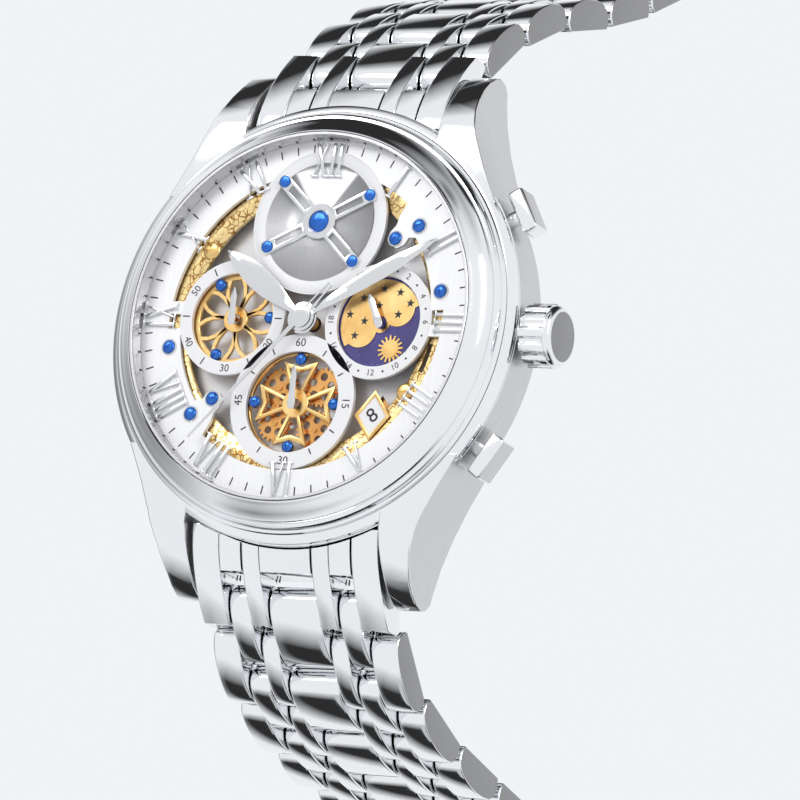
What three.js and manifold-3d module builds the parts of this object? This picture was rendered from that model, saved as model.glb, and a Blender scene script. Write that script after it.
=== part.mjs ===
// Skeleton chronograph wristwatch with a seven-column steel bracelet, in millimetres.
// Modelled in the watch frame: x to 3 o'clock, y to 12 o'clock, z out of the dial, dial face at z = 0.
// The closing group stands it upright: dial towards -Y, 12 o'clock up, origin at the case back's centre.
import * as THREE from 'three';
import { mergeVertices } from 'three/addons/utils/BufferGeometryUtils.js';
import Module from 'manifold-3d';

const wasm = await Module();
wasm.setup();

// ---- Driving dimensions ----
const caseR = 21.0;            // case flank radius
const caseBoreR = 18.0;        // bore that takes the movement ring
const caseTopZ = -1.1;         // seat of the bezel
const caseBottomZ = -8.2;      // seat of the case back
const backZ = -9.6;            // outer face of the case back
const bezelInnerR = 17.6;
const bezelTopZ = 1.6;
const crystalR = 17.25;
const crystalZ = [1.25, 2.15];
const backWindowR = 13.0;
const dialR = 17.5;
const dialThick = 0.4;
const dialOpeningR = 14.3;
const fit = 0.05;              // clearance between pieces that seat on each other
const runGap = 0.1;            // clearance between layers that turn

const leftDial = { x: -7.65, y: 0, inner: 4.25, outer: 5.5 };
const rightDial = { x: 7.7, y: 0, inner: 4.3, outer: 5.5 };
const lowerDial = { x: 0, y: -7.84, inner: 4.8, outer: 6.4 };
const balance = { x: 0, y: 9.3, inner: 5.6, outer: 6.9 };
const datePos = { x: 8.3, y: -8.8, halfX: 1.85, halfY: 2.4, frame: 0.45 };

const hourZ = 0.45, minuteZ = 0.68, chronoZ = 0.9, handThick = 0.13, subHandZ = 0.12;
const hourAngle = 55, minuteAngle = -59, chronoAngle = -220;   // counter-clockwise from 12
const hourLength = 11.0, minuteLength = 15.2, chronoLength = 15.4, chronoTail = 4.2;

const crownR = 3.0, crownX = [21.5, 24.9], stemZ = -3.9, stemR = 0.45, tubeR = 1.1;
const pusherR = 23.3, pusherAngles = { pusher_upper: 31, pusher_lower: -31 };
const pusherCap = { width: 4.4, height: 2.8, depth: 1.6 };

const lugX = [10.15, 12.7];    // inner and outer faces of a lug
const hingeY = 25.6, hingeZ = -7.6;         // first bracelet pin
const pitch = 8.7, linkGap = 0.8, pinR = 0.45, pinClear = 0.1, linkHalf = 1.5;
const columns = [2.9, 2.3, 1.9, 5.4, 1.9, 2.3, 2.9], columnGap = 0.12;
const halves = {               // rest direction of each row, degrees down from the dial plane
  12: [47.5, 60, 71, 66, 60, 57, 55],
  6: [45, 69, 79, 80, 80, 80, 80],
};

// ---- Materials ----
const metal = (color, roughness) => new THREE.MeshStandardMaterial({ color, metalness: 1, roughness });
const polished = metal(0xd9dbdd, 0.12), brushed = metal(0xb4b6b9, 0.38), gold = metal(0xe0b052, 0.28);
const silver = metal(0xd8d8da, 0.45);
const glass = new THREE.MeshStandardMaterial({ color: 0xf4f8fa, metalness: 0, roughness: 0.03 });
const dark = new THREE.MeshStandardMaterial({ color: 0x202022, metalness: 0, roughness: 0.7 });
const night = new THREE.MeshStandardMaterial({ color: 0x2a2668, metalness: 0.2, roughness: 0.4 });

// ---- Shape helpers ----
const rad = THREE.MathUtils.degToRad;
const polar = (r, deg, c = { x: 0, y: 0 }) => [c.x + r * Math.cos(rad(deg)), c.y + r * Math.sin(rad(deg))];
const range = (n) => Array.from({ length: n }, (_, i) => i);

function solid(geometry) {
  const g = geometry.index ? geometry.toNonIndexed() : geometry;
  g.deleteAttribute('normal');
  g.deleteAttribute('uv');
  const m = mergeVertices(g, 1e-4);
  return new wasm.Manifold(new wasm.Mesh({
    numProp: 3, vertProperties: m.attributes.position.array, triVerts: new Uint32Array(m.index.array),
  }));
}

// Revolves a closed (r, z) profile, listed counter-clockwise, about the z axis through centre c.
function turned(profile, c = { x: 0, y: 0 }, segments = 32) {
  const points = profile.map(([r, z]) => new THREE.Vector2(r, z));
  if (profile[0][0] > 0) points.push(points[0].clone());
  const g = new THREE.LatheGeometry(points, segments);
  return solid(g.rotateX(Math.PI / 2).translate(c.x, c.y, 0));
}
const disc = (r, z0, z1, c, segments) => turned([[0, z0], [r, z0], [r, z1], [0, z1]], c, segments);
const ring = (r0, r1, z0, z1, c, segments) => turned([[r0, z0], [r1, z0], [r1, z1], [r0, z1]], c, segments);

// A flat outline of (x, y) points, raised from z0 to z1.
function plate(points, z0, z1) {
  const shape = new THREE.Shape(points.map(([x, y]) => new THREE.Vector2(x, y)));
  const g = new THREE.ExtrudeGeometry(shape, { depth: z1 - z0, bevelEnabled: false });
  return solid(g.translate(0, 0, z0));
}

// A (y, z) outline, run along x from x0 to x1.
function barX(points, x0, x1) {
  const shape = new THREE.Shape(points.map(([y, z]) => new THREE.Vector2(y, z)));
  const g = new THREE.ExtrudeGeometry(shape, { depth: x1 - x0, bevelEnabled: false }).translate(0, 0, x0);
  return solid(g.applyMatrix4(new THREE.Matrix4().set(0, 0, 1, 0, 1, 0, 0, 0, 0, 1, 0, 0, 0, 0, 0, 1)));
}
const circle = (r, n, cy = 0, cz = 0) => range(n).map((i) => [
  cy + r * Math.cos((2 * Math.PI * i) / n), cz + r * Math.sin((2 * Math.PI * i) / n)]);
const rodX = (r, y, z, x0, x1, n = 10) => barX(circle(r, n, y, z), x0, x1);

// A straight strip of the given width between two points, raised from z0 to z1.
function strip(a, b, width, z0, z1) {
  const dx = b[0] - a[0], dy = b[1] - a[1], l = Math.hypot(dx, dy);
  const nx = (-dy / l) * (width / 2), ny = (dx / l) * (width / 2);
  return plate([[a[0] - nx, a[1] - ny], [b[0] - nx, b[1] - ny], [b[0] + nx, b[1] + ny],
    [a[0] + nx, a[1] + ny]], z0, z1);
}
const joined = (...parts) => parts.flat().reduce((a, b) => a.add(b));
const cutBy = (body, ...tools) => tools.flat().reduce((a, b) => a.subtract(b), body);

// A toothed wheel outline: one pointed tooth per pitch, the first tooth turned to phase degrees.
function toothed(teeth, tipR, rootR, z0, z1, c, phase = 0) {
  return plate(range(teeth * 2).map((i) => polar(i % 2 ? rootR : tipR,
    phase + (180 * i) / teeth, c)), z0, z1);
}

const watch = new THREE.Group();
function add(name, body, material) {
  const m = body.getMesh();
  const g = new THREE.BufferGeometry();
  g.setAttribute('position', new THREE.BufferAttribute(new Float32Array(m.vertProperties), 3));
  g.setIndex(new THREE.BufferAttribute(new Uint32Array(m.triVerts), 1));
  g.computeVertexNormals();
  const mesh = new THREE.Mesh(g, material.clone());
  mesh.name = name;
  watch.add(mesh);
}

// ---- Case ----
function makeCase() {
  const body = turned([[caseBoreR, caseBottomZ], [19.3, caseBottomZ], [20.8, -6.8], [caseR, -6.4],
    [caseR, -2.25], [20.7, -2.1], [20.95, -1.85], [20.6, -1.3], [20.3, caseTopZ], [caseBoreR, caseTopZ]]);
  const side = [[12, -2.0], [16, -2.35], [20, -3.1], [23, -4.3], [25.2, -5.9], [25.4, -7.4],
    [24.4, -8.8], [21, -8.9], [17, caseBottomZ], [12, caseBottomZ]];
  const lugs = [1, -1].flatMap((end) => [1, -1].map((s) => {
    const x = lugX.map((v) => v * s).sort((a, b) => a - b);
    const outline = side.map(([y, z]) => [y * end, z]);
    return barX(end > 0 ? outline : outline.reverse(), x[0], x[1]);
  }));
  const bore = disc(caseBoreR, backZ - 1, 1);
  const backSeat = disc(19.3, backZ - 1, caseBottomZ);
  const pusherBores = Object.values(pusherAngles).map((a) => radialRod(pusherStemR + fit, 17, 25, a, stemZ));
  return cutBy(joined(body, lugs), bore, backSeat, rodAlongX(tubeR + fit, 17, 25, stemZ), pusherBores);
}
const pusherStemR = 0.8;
const rodAlongX = (r, x0, x1, z, n = 16) => rodX(r, 0, z, x0, x1, n);
function radialRod(r, r0, r1, deg, z) {
  const g = new THREE.CylinderGeometry(r, r, r1 - r0, 12).rotateZ(-Math.PI / 2);
  return solid(g.translate((r0 + r1) / 2, 0, z).rotateZ(rad(deg)));
}

add('case_middle', makeCase(), brushed);
add('bezel', turned([[bezelInnerR, caseTopZ + fit], [20.2, caseTopZ + fit], [20.2, -0.9], [19.8, -0.5],
  [19.35, 0.05], [18.95, 0.35], [bezelInnerR + 0.35, bezelTopZ - 0.1], [bezelInnerR + 0.1, bezelTopZ],
  [bezelInnerR, bezelTopZ]]), polished);
add('crystal', turned([[0, crystalZ[0]], [crystalR, crystalZ[0]], [crystalR, crystalZ[1] - 0.3],
  [crystalR - 0.4, crystalZ[1]], [0, crystalZ[1]]]), glass);
add('crystal_gasket', ring(crystalR + fit / 2, bezelInnerR - fit, crystalZ[0], bezelTopZ), dark);
add('inner_flange', turned([[dialR - 0.35, fit], [bezelInnerR - fit, fit], [bezelInnerR - fit,
  crystalZ[0] - fit], [dialR, crystalZ[0] - fit]]), silver);
add('case_back_ring', turned([[backWindowR, backZ], [18.2, backZ], [19.2, -8.9], [19.2, caseBottomZ - fit],
  [18.75, caseBottomZ - fit], [18.75, -8.6], [caseBoreR - 0.08, -8.6], [caseBoreR - 0.08, -7.6],
  [17.0, -7.6], [17.0, -9.0], [backWindowR, -9.0]]), brushed);
add('case_back_window', turned([[0, backZ], [backWindowR - fit, backZ], [backWindowR - fit, -8.95],
  [backWindowR + 1.6, -8.95], [backWindowR + 1.6, -8.45], [0, -8.45]]), glass);
add('case_back_gasket', ring(18.05, 18.67, -8.55, caseBottomZ - fit, undefined, 32), dark);

// ---- Crown and pushers ----
const fluteCount = 12;
function makeCrown() {
  const outline = range(fluteCount * 4).map((i) => {
    const r = [crownR, crownR, crownR - 0.3, crownR - 0.3][i % 4];
    return [r * Math.cos((2 * Math.PI * i) / (fluteCount * 4)),
      stemZ + r * Math.sin((2 * Math.PI * i) / (fluteCount * 4))];
  });
  const skirt = barX(outline, crownX[0], crownX[1] - 0.8);
  const cap = rodX(crownR, 0, stemZ, crownX[1] - 0.8, crownX[1], 24);
  return cutBy(joined(skirt, cap), rodX(tubeR + 0.15, 0, stemZ, crownX[0] - 1, crownX[0] + 1.6, 16),
    rodX(stemR + fit, 0, stemZ, crownX[0], crownX[1] - 1, 12));
}
add('crown', makeCrown(), polished);
add('crown_tube', cutBy(rodAlongX(tubeR, 17.2, crownX[0] + 0.9, stemZ), rodAlongX(stemR + fit, 16, 25,
  stemZ, 12)), brushed);
add('winding_stem', rodAlongX(stemR, 13.2, crownX[1] - 1.1, stemZ, 10), brushed);
for (const [name, angle] of Object.entries(pusherAngles)) {
  const { width, height, depth } = pusherCap;
  const cap = new THREE.BoxGeometry(depth, width, height, 1, 1, 1).translate(pusherR - depth / 2, 0, stemZ);
  const body = solid(cap.rotateZ(rad(angle)));
  add(name, joined(body, radialRod(pusherStemR, 18.6, pusherR - 0.5, angle, stemZ)), polished);
}

// ---- Dial side ----
function makeDial() {
  const z0 = -dialThick;
  let d = ring(dialOpeningR, dialR, z0, 0);
  for (const s of [leftDial, rightDial, lowerDial, balance]) d = d.add(disc(s.outer, z0, 0, s, 30));
  d = d.add(strip([12.6, -0.75], [14.6, -0.75], 1.1, z0, 0)).add(strip([-12.6, 0.8], [-14.6, 0.8], 1.2, z0, 0));
  for (const turn of [0, 180]) {
    const shoulder = range(5).map((i) => polar(13.0, turn + 6 + i * 9))
      .concat(range(5).map((i) => polar(14.6, turn + 42 - i * 9)));
    d = d.add(plate(shoulder.reverse(), z0, 0));
    d = d.add(strip(polar(14.6, turn + 41), polar(11.0, turn + 43), 2.6, z0, 0));
  }
  for (const s of [leftDial, rightDial, lowerDial, balance]) d = d.subtract(disc(s.inner, -1, 1, s, 26));
  return d.intersect(disc(dialR, -1, 1));
}
add('dial_plate', makeDial(), silver);

// A four-armed bridge whose arms are slotted into two bars each.
const armAngles = [27.5, 138, -42, -153], armR = 5.75;
function makeBalanceBridge() {
  const z0 = fit, z1 = 0.26;
  const arms = armAngles.map((a) => strip(polar(1.2, a, balance), polar(armR + 0.45, a, balance), 1.35, z0, z1));
  const slots = armAngles.map((a) => strip(polar(1.75, a, balance), polar(armR - 0.95, a, balance), 0.6, -1, 1));
  const hub = joined(disc(1.7, z0, z1, balance, 20), disc(0.7, -0.45, z0 + 0.01, balance, 16));
  return cutBy(joined(hub, arms), slots, disc(0.22, -1, 0.1, balance, 12));
}
add('balance_bridge', makeBalanceBridge(), polished);
add('engraved_ring', cutBy(ring(12.5, dialOpeningR + 0.6, -1.1, -0.6), disc(balance.inner, -2, 1, balance, 32),
  disc(lowerDial.inner + 0.5, -2, 1, lowerDial, 24)), gold);
function makeSpokedBridge(c, count, twist) {
  const rim = ring(c.inner - 0.5, c.inner + 0.35, -1.1, -0.55, c, 26);
  const spokes = range(count).map((i) => strip(polar(1.0, (360 * i) / count, c),
    polar(c.inner, (360 * i) / count + twist, c), 0.7, -1.0, -0.6));
  return cutBy(joined(rim, disc(1.25, -1.1, -0.55, c, 24), spokes), disc(0.4, -2, 0, c, 12));
}
add('left_window_bridge', makeSpokedBridge(leftDial, 7, 12), gold);
add('lower_window_bridge', makeSpokedBridge(lowerDial, 8, 0), gold);
function diamond(grow) {
  const { x, y, halfX, halfY } = datePos;
  return [[x - halfX - grow, y], [x, y - halfY - grow], [x + halfX + grow, y], [x, y + halfY + grow]];
}
add('date_frame', cutBy(plate(diamond(datePos.frame), -0.42 - runGap, -0.42),
  plate(diamond(-0.1), -1, 0)), gold);

// ---- Day and night display, date and base plate ----
const arborR = 0.3;
add('day_night_disc', joined(disc(4.65, -0.8, -0.55, rightDial, 28),
  disc(arborR, -0.56, subHandZ - 0.02, rightDial, 12)), night);
add('base_plate', cutBy(disc(16.4, -2.2, -1.9), disc(balance.inner - 0.1, -3, 0, balance, 32),
  plate(diamond(-0.1), -3, 0), [leftDial, lowerDial].map((c) => disc(arborR + runGap, -3, 0, c, 12)),
  disc(0.75, -3, 0, undefined, 16)), silver);
add('date_ring', ring(10.2, 13.9, -2.5, -2.3), silver);

// ---- Movement ----
const third = { x: -4.28, y: -3.77 }, escape = { x: -4.3, y: 4.1 }, barrelAt = { x: 6.2, y: 2.26 };
const pallet = { x: -2.26, y: 6.56 };
const centre = { x: 0, y: 0 };
add('main_plate', (() => {
  const posts = [[-13.6, -5], [12.6, -7.5], [8, 12], [-10, 10.4]].map(([x, y]) => disc(0.8, -5.75, -3.5, { x, y }, 12));
  return cutBy(joined(disc(16.4, -3.6, -2.7), posts), disc(5.3, -4, 0, balance, 32),
    disc(0.75, -4, 0, undefined, 16), disc(arborR + runGap, -4, 0, leftDial, 12),
    rodAlongX(stemR + 0.15, 12.9, 18, stemZ), disc(4.2, -4, 0, lowerDial, 32));
})(), gold);
add('movement_ring', cutBy(turned([[16.55, -6.5], [caseBoreR - fit, -6.5],
  [caseBoreR - fit, caseTopZ - fit], [dialR, caseTopZ - fit], [dialR, -dialThick - fit], [16.55, -dialThick - fit]]), rodAlongX(tubeR + 0.15, 16, 19, stemZ),
  Object.values(pusherAngles).map((a) => radialRod(pusherStemR + 0.2, 16, 19, a, stemZ))), silver);
const wheels = [
  // name, centre, teeth, tip radius, z0, z1, arbor radius, arbor z0, arbor z1, pinion [r, z0, z1], phase
  ['barrel', barrelAt, 36, 5.95, -5.5, -4.7, 0.5, -5.75, -3.65, null, 22.5],
  ['center_wheel', centre, 32, 5.2, -4.4, -4.2, 0.6, -5.75, -0.3, [0.62, -5.6, -4.6], 0],
  ['third_wheel', third, 30, 4.5, -4.95, -4.8, 0.25, -5.75, -3.65, [0.55, -4.7, -4.1], 0],
  ['fourth_wheel', leftDial, 40, 4.6, -4.0, -3.85, 0.25, -5.75, 0.1, [0.5, -5.1, -4.7], 0],
  ['escape_wheel', escape, 15, 2.2, -5.1, -4.9, 0.2, -5.75, -3.65, [0.6, -4.1, -3.75], 0],
];
for (const [name, c, teeth, tip, z0, z1, ar, a0, a1, pinion, phase] of wheels) {
  const root = tip - (teeth < 20 ? 0.7 : 0.3);
  const hole = tip * 0.36;
  const cutouts = name === 'barrel' || teeth < 20 ? [] : range(4).map((i) => disc(hole * 0.72, z0 - 1, z1 + 1,
    { x: c.x + tip * 0.5 * Math.cos(i * Math.PI / 2), y: c.y + tip * 0.5 * Math.sin(i * Math.PI / 2) }, 8));
  let w = cutBy(toothed(teeth, tip, root, z0, z1, c, phase), cutouts).add(disc(ar, a0, a1, c, 12));
  if (pinion) w = w.add(disc(pinion[0], pinion[1], pinion[2], c, 16));
  add(name, w, name === 'escape_wheel' ? brushed : gold);
}
add('pallet_fork', joined(disc(0.25, -5.75, -3.65, pallet, 10), strip([-3.2, 7.9], [-3.9, 6.55], 0.5, -5.1, -4.9),
  strip([-3.5, 7.2], [-2.26, 6.56], 0.6, -5.1, -4.9), strip([-2.26, 6.56], [-0.95, 8.2], 0.5, -5.1, -4.9)), brushed);
const staff = disc(0.18, -5.75, -0.02, balance, 12);
add('balance_wheel', joined(ring(3.9, 4.75, -1.75, -1.3, balance, 28), staff,
  disc(0.7, -5.1, -4.9, balance, 12), disc(0.9, -1.75, -1.3, balance, 16),
  [35, 155, 275].map((a) => strip(polar(0.5, a, balance), polar(4.1, a, balance), 0.6, -1.7, -1.35))), gold);
function makeHairspring() {
  const turns = 3, steps = turns * 8, r0 = 0.6, r1 = 3.0, w = 0.12;
  const at = (i, off) => polar(r0 + ((r1 - r0) * i) / steps + off, (360 * turns * i) / steps, balance);
  const outer = range(steps + 1).map((i) => at(i, w / 2));
  const inner = range(steps + 1).map((i) => at(steps - i, -w / 2));
  return joined(plate(outer.concat(inner), -1.05, -0.85), ring(0.3, 0.72, -1.05, -0.85, balance, 16));
}
add('hairspring', makeHairspring(), gold);
add('train_bridge', cutBy(disc(15.5, -6.4, -5.8), disc(4.4, -7, -5, { x: 8.6, y: -7.4 }, 24),
  disc(3.2, -7, -5, { x: -11, y: 4.2 }, 24), disc(2.6, -7, -5, { x: 4.6, y: 10.4 }, 24),
  disc(3.4, -7, -5, { x: -3.8, y: -10.2 }, 24)).add(disc(0.7, -7.35, -6.3, centre, 16)), gold);
function makeRotor() {
  const lower = plate([[-20, -20], [20, -20], [20, 0], [-20, 0]], -9, -6);
  const half = (r0, r1, z0, z1) => ring(r0, r1, z0, z1).intersect(lower);
  return cutBy(joined(half(1.5, 15.6, -7.1, -6.85), half(12.6, 15.6, -8.2, -6.85), disc(2.3, -7.3, -6.55, centre, 32)),
    disc(0.7 + runGap, -9, -6, centre, 16));
}
add('rotor', makeRotor(), brushed);

// ---- Hands ----
// A leaf hand along +y turned counter-clockwise by deg, with a round hub and its boss.
function leafHand({ length, belly, bellyAt, root, tail = 0, hub, boss, bossZ, z, deg, c = centre, thick = handThick }) {
  const blade = [[-root, 0], [-root * 0.8, -tail], [root * 0.8, -tail], [root, 0], [belly, bellyAt], [0.08, length],
    [-0.08, length], [-belly, bellyAt]].map(([x, y]) => [c.x + x * Math.cos(rad(deg)) - y * Math.sin(rad(deg)),
    c.y + x * Math.sin(rad(deg)) + y * Math.cos(rad(deg))]);
  return joined(plate(blade, z, z + thick), disc(hub, z, z + thick, c, 20),
    disc(boss, Math.min(bossZ, z), Math.max(bossZ, z) + 0.01, c, 14));
}
const tube = (body, r) => body.subtract(disc(r, -3, 2, centre, 14));
add('hour_hand', tube(leafHand({ length: hourLength, belly: 1.15, bellyAt: 6.0, root: 0.35, hub: 0.95,
  boss: 0.72, bossZ: -0.25, z: hourZ, deg: hourAngle }), 0.54), polished);
add('minute_hand', tube(leafHand({ length: minuteLength, belly: 0.8, bellyAt: 7.8, root: 0.3, hub: 0.85,
  boss: 0.48, bossZ: -0.25, z: minuteZ, deg: minuteAngle }), 0.28), polished);
add('chrono_seconds_hand', leafHand({ length: chronoLength, belly: 0.1, bellyAt: 8, root: 0.13, tail: chronoTail,
  hub: 0.6, boss: 0.22, bossZ: -0.25, z: chronoZ, deg: chronoAngle, thick: 0.1 }), polished);
const subHand = (name, c, deg, length, depth) => add(name, leafHand({ length, belly: 0.32, bellyAt: length * 0.55,
  root: 0.16, tail: 0.3, hub: 0.55, boss: 0.25, bossZ: depth, z: subHandZ, deg, c, thick: 0.12 }), polished);
subHand('small_seconds_hand', leftDial, 3, 2.9, subHandZ);
subHand('chrono_minute_hand', lowerDial, 4, 3.6, -1.8);
subHand('day_night_hand', rightDial, 27, 2.9, subHandZ);

// ---- Bracelet ----
const width = columns.reduce((a, b) => a + b);
const edges = columns.map((_, i) => columns.slice(0, i).reduce((a, b) => a + b, 0) - width / 2);
const columnX = (i) => [edges[i] + columnGap / 2, edges[i] + columns[i] - columnGap / 2];
const outerColumns = [0, 2, 4, 6], innerColumns = [1, 3, 5];

// The side outline of one link from a to b along the row: flat inside, crowned outside.
function linkOutline(a, b) {
  const mid = (a + b) / 2, half = (b - a) / 2, steps = 3;
  const crown = range(steps + 1).map((i) => {
    const t = Math.PI * i / steps;
    return [mid + half * Math.cos(t), -0.7 + (linkHalf + 0.8) * Math.sin(t) ** 0.8];
  });
  return [[a + 0.3, -linkHalf], [b - 0.3, -linkHalf], ...crown];
}
// Places a body made with (u, v) as (y, z) at a pin, with u turned down by deg, on one half of the bracelet.
function placed(body, [y, z], deg, end) {
  const c = Math.cos(rad(deg)), s = Math.sin(rad(deg));
  const m = [1, 0, 0, 0, 0, c, -s, 0, 0, s, c, 0, 0, y, z, 1];
  const out = body.transform(m);
  return end > 0 ? out : out.mirror([0, 1, 0]);
}
const fingers = (cols, outline) => cols.map((i) => barX(outline, ...columnX(i)));
const pinHole = (u) => rodX(pinR + pinClear, u, 0, -width, width, 6);
const pin = (u) => rodX(pinR, u, 0, -width / 2 + 0.3, width / 2 - 0.3, 4);
const quarter = pitch / 4;
function makeRow() {
  const inner = linkOutline(-quarter + linkGap / 2, 3 * quarter - linkGap / 2);
  const outer = linkOutline(quarter + linkGap / 2, 5 * quarter - linkGap / 2);
  const web = barX([[pitch / 2 - 0.9, -0.9], [pitch / 2 + 0.9, -0.9], [pitch / 2 + 0.9, 0.7],
    [pitch / 2 - 0.9, 0.7]], -width / 2 + 0.5, width / 2 - 0.5);
  return joined(fingers(outerColumns, outer), cutBy(joined(fingers(innerColumns, inner)), pinHole(0)), web, pin(pitch));
}
function makeEndLink() {
  const top = (y) => -2.2 - ((y - 19) / 7) ** 2 * 2.6 - (y - 19) * 0.12;
  const body = (reach) => {
    const ys = range(5).map((i) => 19 + ((reach - 19) * i) / 4);
    return [[19, -7.4], [hingeY - quarter - linkGap, -7.4 - 0.6], ...(reach > hingeY ? [
      [reach - 0.4, hingeZ - 1.7], [reach, hingeZ - 1.1]] : [[reach, -7.4]]), ...ys.reverse().map((y) => [y, top(y)])];
  };
  const long = fingers(outerColumns, body(hingeY + quarter - linkGap / 2));
  const short = innerColumns.map((i) => barX(body(hingeY - quarter - linkGap), edges[i] - 0.1, edges[i] + columns[i] + 0.1));
  const clearOfCase = disc(caseR + 0.12, -20, 5, centre, 60);
  return joined(cutBy(joined(long, short), clearOfCase), rodX(pinR, hingeY, hingeZ, -width / 2 + 0.3, width / 2 - 0.3, 8));
}
const tips = {};
for (const [half, directions] of Object.entries(halves)) {
  const end = half === '12' ? 1 : -1;
  add(`end_link_${half}`, placed(makeEndLink(), [0, 0], 0, end), polished);
  let at = [hingeY, hingeZ];
  directions.forEach((deg, i) => {
    add(`bracelet_${half}_row_${i + 1}`, placed(makeRow(), at, deg, end), polished);
    at = [at[0] + pitch * Math.cos(rad(deg)), at[1] - pitch * Math.sin(rad(deg))];
  });
  tips[half] = at;
}

// ---- Folding clasp on the 12 o'clock half ----
const clasp = { length: 36, half: 8.9, wall: 0.8, foldU: 5, hingeU: 34, hingeV: -1.3, foldV: -2.4 };
const claspDirection = halves[12][6];
const inClasp = (body) => placed(body, tips[12], claspDirection, 1);
function makeCover() {
  const { length, half, wall, hingeU, hingeV } = clasp;
  const knuckles = cutBy(joined(fingers(innerColumns, linkOutline(-quarter + linkGap / 2, 3.2))), pinHole(0));
  const skin = barX([[2.4, 0.1], [length, 0.1], [length, 0.5], [length - 1, 1.0], [3.4, 1.0], [2.4, 0.5]], -half, half);
  const walls = [[-half, -half + wall], [half - wall, half]].map(([a, b]) => barX([[4, -2.2], [length, -2.2],
    [length, 0.2], [4, 0.2]], a, b));
  return joined(knuckles, skin, walls, rodX(0.5, hingeU, hingeV, -half + 0.1, half - 0.1, 8));
}
function makeOuterBlade() {
  const { foldU, foldV, hingeU, hingeV } = clasp;
  const leaf = barX([[foldU - 0.8, -1.55], [hingeU + 0.5, -1.55], [hingeU + 0.5, -0.85], [foldU - 0.8, -0.85]], -6.5, 6.5);
  const eye = rodX(0.95, hingeU, hingeV, -6.5, 6.5, 12);
  const ears = [[-6.5, -5.5], [5.5, 6.5]].map(([a, b]) => barX([[foldU - 0.8, foldV - 0.8], [foldU + 0.8, foldV - 0.8],
    [foldU + 0.8, -1], [foldU - 0.8, -1]], a, b));
  return cutBy(joined(leaf, eye, ears), rodX(0.6, hingeU, hingeV, -9, 9, 8)).add(rodX(0.4, foldU, foldV, -6, 6, 8));
}
function makeInnerBlade() {
  const { foldU, foldV, hingeU } = clasp;
  const leaf = barX([[foldU, -3.2], [hingeU - 2.5, -3.2], [hingeU - 2.5, -2.6], [foldU, -2.6]], -5.2, 5.2);
  return cutBy(joined(leaf, rodX(0.8, foldU, foldV, -5.2, 5.2, 10)), rodX(0.5, foldU, foldV, -9, 9, 8));
}
add('clasp_cover', inClasp(makeCover()), brushed);
add('clasp_outer_blade', inClasp(makeOuterBlade()), polished);
add('clasp_inner_blade', inClasp(makeInnerBlade()), polished);

// Dial towards -Y, 12 o'clock up, origin at the centre of the case back's outer face.
watch.rotation.x = Math.PI / 2;
watch.position.y = backZ;
const object = new THREE.Group();
object.add(watch);
export default object;
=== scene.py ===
"""Looks of a skeleton chronograph wristwatch with a seven-column steel bracelet."""
import math
import random

import bmesh
import bpy
from mathutils import Matrix, Vector


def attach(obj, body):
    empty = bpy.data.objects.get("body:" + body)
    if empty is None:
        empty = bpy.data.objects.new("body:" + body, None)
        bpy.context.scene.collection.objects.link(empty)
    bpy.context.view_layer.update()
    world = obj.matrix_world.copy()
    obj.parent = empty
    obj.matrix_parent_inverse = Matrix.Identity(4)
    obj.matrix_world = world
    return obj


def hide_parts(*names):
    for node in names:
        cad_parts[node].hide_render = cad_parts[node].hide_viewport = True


bl_info = {
    "name": "Skeleton wristwatch",
    "version": (1, 0, 0),
    "blender": (4, 5, 0),
    "location": "View3D > Sidebar > Watch",
    "description": "Builds the finished pieces of a skeleton wristwatch around its packed frame",
    "category": "Object",
}

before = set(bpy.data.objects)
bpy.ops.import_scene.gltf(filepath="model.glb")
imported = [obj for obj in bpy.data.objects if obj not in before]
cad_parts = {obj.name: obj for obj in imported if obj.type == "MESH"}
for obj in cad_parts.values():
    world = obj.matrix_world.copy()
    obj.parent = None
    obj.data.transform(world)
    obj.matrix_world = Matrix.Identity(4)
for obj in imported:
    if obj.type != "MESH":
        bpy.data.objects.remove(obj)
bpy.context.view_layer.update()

# The watch frame: millimetres, x to 3 o'clock, y to 12 o'clock, z out of the dial, dial face at z = 0.
BACK_Z = -9.6
TO_ROW = Matrix(((0.001, 0, 0, 0), (0, 0, -0.001, BACK_Z * 0.001), (0, 0.001, 0, 0), (0, 0, 0, 1)))

CASE_R = 21.0
DIAL_R = 17.5
OPENING_R = 14.3
SMALL_DIALS = {"left": (-7.65, 0, 4.25, 5.5), "right": (7.7, 0, 4.3, 5.5), "lower": (0, -7.84, 4.8, 6.4)}
BALANCE = (0, 9.3)
BALANCE_RING = (5.6, 6.9)
DATE = (8.3, -8.8)
ARM_ANGLES = (27.5, 138, -42, -153)
STEM_Z = -3.9
PUSHER_ANGLES = {"upper": 31, "lower": -31}
PITCH = 8.7
HINGE = (25.6, -7.6)
COLUMNS = (2.9, 2.3, 1.9, 5.4, 1.9, 2.3, 2.9)
HALVES = {12: (47.5, 60, 71, 66, 60, 57, 55), 6: (45, 69, 79, 80, 80, 80, 80)}
RAD = math.radians


def polar(r, deg, centre=(0, 0)):
    return (centre[0] + r * math.cos(RAD(deg)), centre[1] + r * math.sin(RAD(deg)))


def clock(r, deg, centre=(0, 0)):
    """A point at deg clockwise from 12."""
    return polar(r, 90 - deg, centre)


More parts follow.
